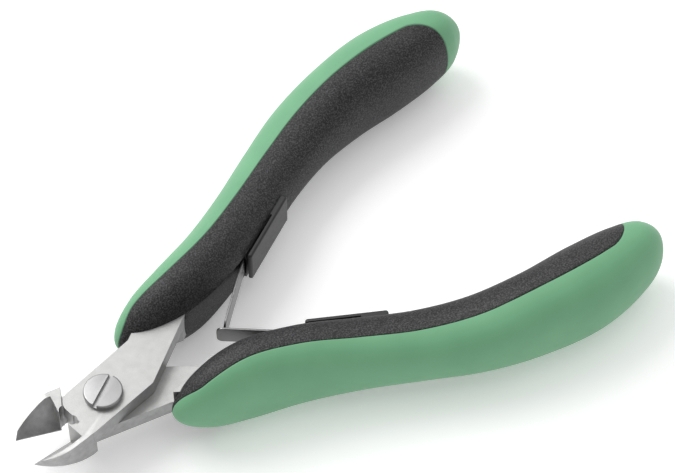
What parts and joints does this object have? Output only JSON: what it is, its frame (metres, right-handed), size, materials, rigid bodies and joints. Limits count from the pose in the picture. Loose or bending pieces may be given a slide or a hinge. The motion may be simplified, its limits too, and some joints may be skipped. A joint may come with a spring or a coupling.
{
  "type": "flush cutter",
  "caption": "Small flush cutter for electronics work with hollow-ground jaws on a lap joint with a slotted pivot screw, leaf return springs and two-colour moulded handles.",
  "frame": {"origin": "on the pivot screw's axis, in the plane where the two halves lap", "axes": "+Z along the pivot axis to the screw's head, +X along the tool's centre line towards the handles' ends, +Y towards the upper handle"},
  "size_m": [0.1407, 0.0912, 0.0224],
  "materials": {
    "forged_steel": "satin, fine glass-bead grain",
    "screw_steel": "turned and satin",
    "spring_steel": "smooth rolled strip",
    "black_handle": "finely pebbled, matte",
    "black_housing": "smooth, low gloss",
    "green_grip": "soft matte elastomer"
  },
  "bodies": {
    "lower_lever": {"lower_half": "forged_steel", "pivot_screw": "screw_steel", "pivot_nut": "screw_steel", "lower_handle_core": "black_handle", "lower_outer_grip": "green_grip", "lower_spring_housing": "black_housing", "lower_spring_root": "spring_steel", "lower_spring_rivet": "screw_steel"},
    "upper_lever": {"upper_half": "forged_steel", "upper_handle_core": "black_handle", "upper_outer_grip": "green_grip", "upper_spring_housing": "black_housing", "upper_spring_root": "spring_steel", "upper_spring_rivet": "screw_steel"},
    "upper_leaf": {"upper_spring_blade": "spring_steel"},
    "lower_leaf": {"lower_spring_blade": "spring_steel"}
  },
  "joints": [
    {"name": "pivot", "type": "hinge", "parent": "lower_lever", "child": "upper_lever", "pos_m": [0, 0, 0], "axis": [0, 0, 1], "range_deg": [-20, 3], "stiffness_Nm_per_rad": 1.5},
    {"name": "upper_leaf_bend", "type": "hinge", "parent": "upper_lever", "child": "upper_leaf", "pos_m": [0.04476, 0.01231, 0], "axis": [0, 0, 1], "range_deg": [-20, 3]},
    {"name": "lower_leaf_bend", "type": "hinge", "parent": "lower_lever", "child": "lower_leaf", "pos_m": [0.04476, -0.01231, 0], "axis": [0, 0, 1], "range_deg": [-3, 20]}
  ],
  "couplings": [
    {"joint": "upper_leaf_bend", "follows": "pivot", "ratio": 1},
    {"joint": "lower_leaf_bend", "follows": "pivot", "ratio": -1}
  ]
}
